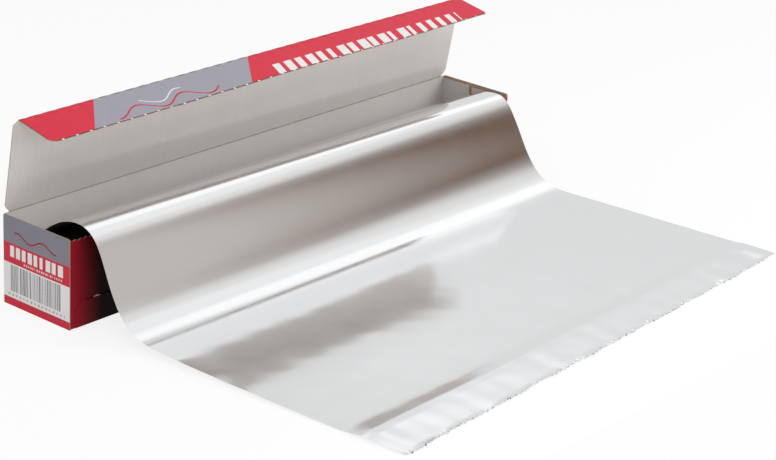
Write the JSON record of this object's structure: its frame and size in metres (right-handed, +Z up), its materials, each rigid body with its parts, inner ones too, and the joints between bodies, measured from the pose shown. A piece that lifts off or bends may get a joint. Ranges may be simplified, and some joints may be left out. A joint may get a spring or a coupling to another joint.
{
  "type": "aluminium foil roll",
  "caption": "Household aluminium foil roll in an open card dispenser carton, with a length of foil drawn over its toothed front edge.",
  "frame": {"origin": "on the ground under the middle of the carton's bottom", "axes": "+X along the carton to its right end, seen from the open front; +Y to the hinged back wall; +Z up"},
  "size_m": [0.4625, 0.33, 0.1286],
  "materials": {
    "printed_card": "satin",
    "lid_card": "matte",
    "flap_card": "satin",
    "strip_card": "satin",
    "core_card": "matte",
    "foil": "polished"
  },
  "bodies": {
    "carton": {"carton_tray": "printed_card", "front_glue_strip": "strip_card", "core_tube": "core_card", "foil": "foil"},
    "lid": {"carton_lid": "lid_card"},
    "flap": {"front_flap": "flap_card"}
  },
  "joints": [
    {"name": "lid_hinge", "type": "hinge", "parent": "carton", "child": "lid", "pos_m": [0, 0.032, 0.063], "axis": [1, 0, 0], "range_deg": [-154, 44]},
    {"name": "flap_fold", "type": "hinge", "parent": "lid", "child": "flap", "pos_m": [0, 0.02108, 0.12809], "axis": [-1, 0, 0], "range_deg": [-54, 96]}
  ]
}
